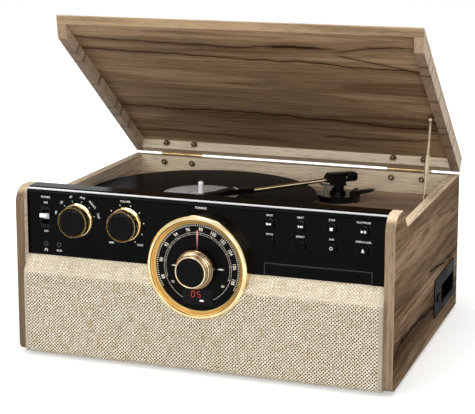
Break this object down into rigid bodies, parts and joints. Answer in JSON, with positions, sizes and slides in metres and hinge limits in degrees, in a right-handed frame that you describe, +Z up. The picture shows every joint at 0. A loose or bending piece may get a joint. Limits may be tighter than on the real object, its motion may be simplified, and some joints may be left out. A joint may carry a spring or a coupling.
{
  "type": "stereo music centre",
  "caption": "Table-top music centre: wooden cabinet with a record player under a stayed lid, radio dial, control knobs, push keys, CD drawer, cassette slot and cloth speaker front.",
  "frame": {"origin": "middle of the bounding box, on the plane that the feet stand on", "axes": "+X to the right as seen from the front, +Y from the front to the back, +Z up"},
  "size_m": [0.4735, 0.4101, 0.4051],
  "materials": {
    "cabinet_wood": "satin walnut-grain veneer",
    "lid_wood": "satin walnut-grain veneer",
    "deck_wood": "satin veneer",
    "board_plain": "raw fibreboard",
    "rubber": "matte",
    "gloss_black": "polished",
    "matte_black": "fine texture",
    "linen": "basket weave",
    "driver_black": "satin",
    "brass_ring": "polished",
    "hinge_brass": "satin",
    "dial_black": "printed",
    "window_smoke": "smoked acrylic",
    "board_green": "solder mask",
    "steel": "satin",
    "aluminium": "cast",
    "mat_rubber": "matte",
    "vinyl": "grooved",
    "tube_brass": "polished",
    "pointer_pink": "satin",
    "paddle_white": "polished",
    "knob_black": "satin",
    "key_black": "polished"
  },
  "bodies": {
    "cabinet": {"side_panel_left": "cabinet_wood", "side_panel_right": "cabinet_wood", "rear_panel": "cabinet_wood", "bottom_panel": "board_plain", "deck_board": "deck_wood", "rubber_feet": "rubber", "grille_cloth": "linen", "speaker_baffle": "board_plain", "speaker_drivers": "driver_black", "control_fascia": "gloss_black", "dial_bezel": "brass_ring", "dial_face": "dial_black", "dial_display": "window_smoke", "knob_rings": "brass_ring", "toggle_body": "matte_black", "control_board": "board_green", "cd_drive": "matte_black", "turntable_chassis": "matte_black", "motor": "steel", "drive_belt": "rubber", "tonearm_base": "matte_black", "arm_rest": "matte_black", "cassette_deck": "matte_black", "terminal_plate": "matte_black", "hinge_base_leaves": "hinge_brass", "stay_track": "steel"},
    "lid": {"lid_top_panel": "lid_wood", "lid_rim_left": "lid_wood", "lid_rim_right": "lid_wood", "lid_rim_rear": "lid_wood", "hinge_lid_leaves": "hinge_brass", "stay_bracket": "matte_black"},
    "stay": {"stay_arm": "steel"},
    "power_paddle": {"toggle_lever": "paddle_white"},
    "selector": {"selector_knob": "knob_black"},
    "volume": {"volume_knob": "knob_black"},
    "tuning": {"tuning_knob": "brass_ring"},
    "pointer": {"dial_pointer": "pointer_pink"},
    "tray": {"cd_tray": "gloss_black"},
    "turntable": {"platter": "aluminium", "platter_mat": "mat_rubber", "record": "vinyl"},
    "pulley": {"motor_pulley": "steel"},
    "turret": {"tonearm_turret": "matte_black"},
    "arm": {"tonearm_housing": "matte_black", "tonearm_tube": "tube_brass", "headshell": "matte_black"},
    "cue_lever_body": {"cue_lever": "matte_black"},
    "cue_bar": {"cue_platform": "steel"},
    "speed": {"speed_lever": "matte_black"},
    "flap": {"cassette_flap": "matte_black"},
    "eject_key": {"cassette_key": "matte_black"},
    "key_back": {"button_back": "key_black"},
    "key_next": {"button_next": "key_black"},
    "key_stop": {"button_stop": "key_black"},
    "key_play": {"button_play": "key_black"},
    "key_prog": {"button_prog": "key_black"},
    "key_repeat": {"button_repeat": "key_black"},
    "key_pair": {"button_pair": "key_black"},
    "key_open": {"button_open": "key_black"}
  },
  "joints": [
    {"name": "lid_hinge", "type": "hinge", "parent": "cabinet", "child": "lid", "pos_m": [0, 0.19319, 0.1851], "axis": [1, 0, 0], "range_deg": [0, 37.6]},
    {"name": "stay_pivot", "type": "hinge", "parent": "lid", "child": "stay", "pos_m": [0.215, 0.09005, 0.27324], "axis": [1, 0, 0], "range_deg": [-98.08, 0]},
    {"name": "power_rock", "type": "hinge", "parent": "cabinet", "child": "power_paddle", "pos_m": [-0.198, -0.16561, 0.173], "axis": [1, 0, 0], "range_deg": [0, 32]},
    {"name": "selector_turn", "type": "hinge", "parent": "cabinet", "child": "selector", "pos_m": [-0.1565, -0.18661, 0.172], "axis": [0, 1, 0], "range_deg": [-75, 75]},
    {"name": "volume_turn", "type": "hinge", "parent": "cabinet", "child": "volume", "pos_m": [-0.0934, -0.18661, 0.172], "axis": [0, 1, 0], "range_deg": [-150, 150]},
    {"name": "tuning_turn", "type": "hinge", "parent": "cabinet", "child": "tuning", "pos_m": [0.002, -0.20531, 0.131], "axis": [0, 1, 0], "range_deg": [-330, 330]},
    {"name": "pointer_turn", "type": "hinge", "parent": "cabinet", "child": "pointer", "pos_m": [0.002, -0.18191, 0.131], "axis": [0, 1, 0], "range_deg": [-110.1, 110.1]},
    {"name": "press_back", "type": "slide", "parent": "cabinet", "child": "key_back", "axis": [0, 1, 0], "range_m": [0, 0.0015], "stiffness_N_per_m": 300, "springref_m": -0.001},
    {"name": "press_next", "type": "slide", "parent": "cabinet", "child": "key_next", "axis": [0, 1, 0], "range_m": [0, 0.0015], "stiffness_N_per_m": 300, "springref_m": -0.001},
    {"name": "press_stop", "type": "slide", "parent": "cabinet", "child": "key_stop", "axis": [0, 1, 0], "range_m": [0, 0.0015], "stiffness_N_per_m": 300, "springref_m": -0.001},
    {"name": "press_play", "type": "slide", "parent": "cabinet", "child": "key_play", "axis": [0, 1, 0], "range_m": [0, 0.0015], "stiffness_N_per_m": 300, "springref_m": -0.001},
    {"name": "press_prog", "type": "slide", "parent": "cabinet", "child": "key_prog", "axis": [0, 1, 0], "range_m": [0, 0.0015], "stiffness_N_per_m": 300, "springref_m": -0.001},
    {"name": "press_repeat", "type": "slide", "parent": "cabinet", "child": "key_repeat", "axis": [0, 1, 0], "range_m": [0, 0.0015], "stiffness_N_per_m": 300, "springref_m": -0.001},
    {"name": "press_pair", "type": "slide", "parent": "cabinet", "child": "key_pair", "axis": [0, 1, 0], "range_m": [0, 0.0015], "stiffness_N_per_m": 300, "springref_m": -0.001},
    {"name": "press_open", "type": "slide", "parent": "cabinet", "child": "key_open", "axis": [0, 1, 0], "range_m": [0, 0.0015], "stiffness_N_per_m": 300, "springref_m": -0.001},
    {"name": "tray_slide", "type": "slide", "parent": "cabinet", "child": "tray", "axis": [0, -1, 0], "range_m": [0, 0.125]},
    {"name": "platter_spin", "type": "hinge", "parent": "cabinet", "child": "turntable", "pos_m": [-0.07, 0.01869, 0.188], "axis": [0, 0, 1], "continuous": true},
    {"name": "pulley_spin", "type": "hinge", "parent": "cabinet", "child": "pulley", "pos_m": [-0.12303, 0.07173, 0.1654], "axis": [0, 0, 1], "continuous": true},
    {"name": "arm_swing", "type": "hinge", "parent": "cabinet", "child": "turret", "pos_m": [0.088, 0.11269, 0.184], "axis": [0, 0, 1], "range_deg": [-2, 50.51]},
    {"name": "arm_lift", "type": "hinge", "parent": "turret", "child": "arm", "pos_m": [0.088, 0.11269, 0.184], "axis": [-0.6225, 0.7826, 0], "range_deg": [0, 4.51]},
    {"name": "cue_turn", "type": "hinge", "parent": "cabinet", "child": "cue_lever_body", "pos_m": [0.113, 0.10569, 0.168], "axis": [0, -1, 0], "range_deg": [0, 45.02]},
    {"name": "cue_rise", "type": "slide", "parent": "cabinet", "child": "cue_bar", "axis": [0, 0, 1], "range_m": [0, 0.0017]},
    {"name": "speed_slide", "type": "slide", "parent": "cabinet", "child": "speed", "axis": [1, 0, 0], "range_m": [0, 0.01]},
    {"name": "flap_swing", "type": "hinge", "parent": "cabinet", "child": "flap", "pos_m": [0.2338, 0.11939, 0.0593], "axis": [0, 1, 0], "range_deg": [0, 80], "stiffness_Nm_per_rad": 0.004, "springref_deg": -5.73},
    {"name": "eject_press", "type": "slide", "parent": "cabinet", "child": "eject_key", "axis": [-1, 0, 0], "range_m": [0, 0.002], "stiffness_N_per_m": 300, "springref_m": -0.001}
  ],
  "couplings": [
    {"joint": "stay_pivot", "follows": "lid_hinge", "ratio": -2.6083},
    {"joint": "pointer_turn", "follows": "tuning_turn", "ratio": 0.33333},
    {"joint": "pulley_spin", "follows": "platter_spin", "ratio": 12.4},
    {"joint": "arm_lift", "follows": "cue_rise", "rad_per_m": 46.2},
    {"joint": "cue_turn", "follows": "cue_rise", "rad_per_m": 462}
  ]
}
